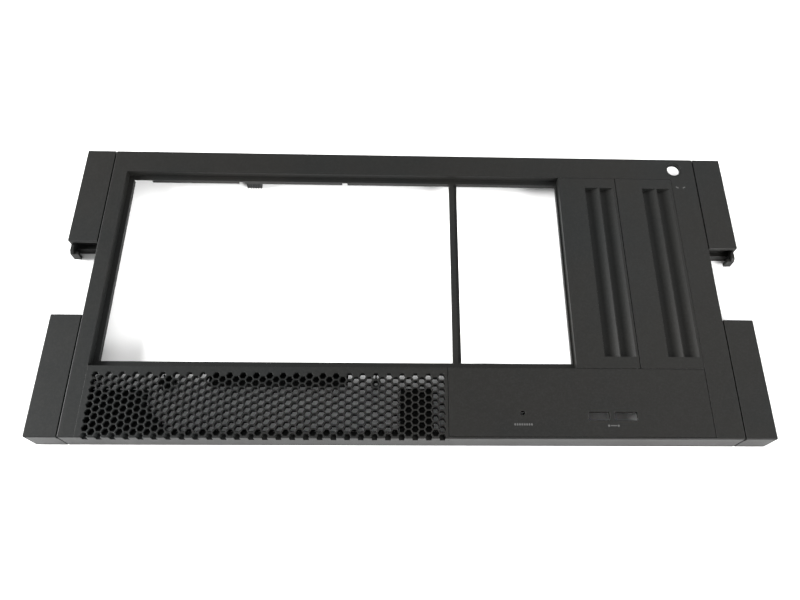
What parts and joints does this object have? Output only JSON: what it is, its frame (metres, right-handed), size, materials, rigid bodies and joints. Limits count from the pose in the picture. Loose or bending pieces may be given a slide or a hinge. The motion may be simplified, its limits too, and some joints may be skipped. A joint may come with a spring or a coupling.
{
  "type": "server front bezel",
  "caption": "Moulded front bezel of a rack server with open drive bays, a hexagonal air grille, a port panel, louvred bay blanks, ear covers and a sliding latch.",
  "frame": {"origin": "middle of the rear rim, which lies on the surface that the bezel rests on", "axes": "+X to the right along the bezel's width, +Y towards its top edge, +Z out of its front face"},
  "size_m": [0.4826, 0.218, 0.0195],
  "materials": {
    "frame_plastic": "fine moulded grain",
    "panel_plastic": "fine moulded grain",
    "latch_plastic": "smooth",
    "screw_steel": "zinc plated"
  },
  "bodies": {
    "bezel": {"main_frame": "frame_plastic", "hex_grille": "frame_plastic", "port_panel": "panel_plastic", "bay_blank_left": "panel_plastic", "bay_blank_right": "panel_plastic", "upper_left_ear": "frame_plastic", "lower_left_ear": "frame_plastic", "upper_right_ear": "frame_plastic", "lower_right_ear": "frame_plastic", "ear_screws": "screw_steel"},
    "latch": {"release_latch": "latch_plastic"}
  },
  "joints": [
    {"name": "latch_slide", "type": "slide", "parent": "bezel", "child": "latch", "axis": [-1, 0, 0], "range_m": [0, 0.004]}
  ]
}
